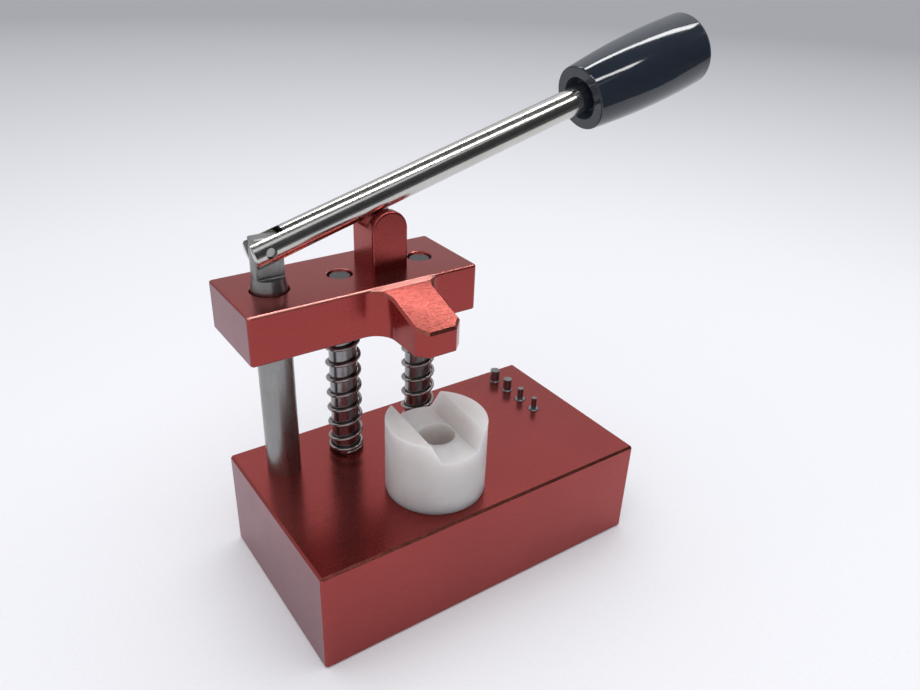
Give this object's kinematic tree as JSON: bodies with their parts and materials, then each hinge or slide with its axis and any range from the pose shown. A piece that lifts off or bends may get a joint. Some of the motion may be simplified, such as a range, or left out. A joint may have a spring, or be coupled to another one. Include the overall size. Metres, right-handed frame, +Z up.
{
  "type": "watch bracelet pin press",
  "caption": "Bench lever press for watch bracelet pins: sprung head on two columns, punch socket in a sloped nose, grooved anvil, spare punches in the base.",
  "frame": {"origin": "centre of the base block's underside", "axes": "+X along the base towards the lever's handle, +Y to the back where the columns stand, +Z up"},
  "size_m": [0.1969, 0.075, 0.1851],
  "materials": {
    "anodised_red": "red anodised, fine milled, semi-gloss",
    "post_steel": "turned and ground, satin",
    "column_steel": "hardened and ground, dark polish",
    "spring_steel": "dark drawn wire, slight sheen",
    "screw_steel": "black oxide",
    "bush_bronze": "machined bronze",
    "pin_steel": "ground pin, bright end",
    "lever_steel": "turned and polished",
    "handle_black": "black moulded, glossy",
    "insert_brass": "knurled insert",
    "anvil_nylon": "white turned nylon, slightly translucent",
    "punch_steel": "ground steel"
  },
  "bodies": {
    "base": {"base_block": "anodised_red", "pivot_post": "post_steel", "guide_column_left": "column_steel", "guide_column_right": "column_steel", "return_spring_left": "spring_steel", "return_spring_right": "spring_steel", "post_screw": "screw_steel", "column_screws": "screw_steel"},
    "head": {"press_head": "anodised_red", "bush_left": "bush_bronze", "bush_right": "bush_bronze", "lever_lug": "anodised_red", "lug_screws": "screw_steel", "socket_set_screw": "screw_steel"},
    "lever": {"pivot_pin": "pin_steel", "lever_rod": "lever_steel", "handle_grip": "handle_black", "handle_insert": "insert_brass"},
    "anvil": {"anvil": "anvil_nylon"},
    "punch_1": {"spare_punch_1": "punch_steel"},
    "punch_2": {"spare_punch_2": "punch_steel"},
    "punch_3": {"spare_punch_3": "punch_steel"},
    "punch_4": {"spare_punch_4": "punch_steel"}
  },
  "joints": [
    {"name": "lever_press", "type": "hinge", "parent": "base", "child": "lever", "pos_m": [-0.0518, 0.02075, 0.12265], "axis": [0, 1, 0], "range_deg": [0, 16.5]},
    {"name": "head_slide", "type": "slide", "parent": "base", "child": "head", "axis": [0, 0, -1], "range_m": [0, 0.012], "stiffness_N_per_m": 2000, "springref_m": -0.01, "deforming": ["return_spring_left", "return_spring_right"]},
    {"name": "anvil_slide", "type": "slide", "parent": "base", "child": "anvil", "axis": [0, 1, 0], "range_m": [-0.0035, 0.012]},
    {"name": "punch_1_lift", "type": "slide", "parent": "base", "child": "punch_1", "axis": [0, 0, 1], "range_m": [0, 0.014]},
    {"name": "punch_2_lift", "type": "slide", "parent": "base", "child": "punch_2", "axis": [0, 0, 1], "range_m": [0, 0.014]},
    {"name": "punch_3_lift", "type": "slide", "parent": "base", "child": "punch_3", "axis": [0, 0, 1], "range_m": [0, 0.014]},
    {"name": "punch_4_lift", "type": "slide", "parent": "base", "child": "punch_4", "axis": [0, 0, 1], "range_m": [0, 0.014]}
  ],
  "couplings": [
    {"joint": "head_slide", "follows": "lever_press", "m_per_rad": 0.0408}
  ]
}
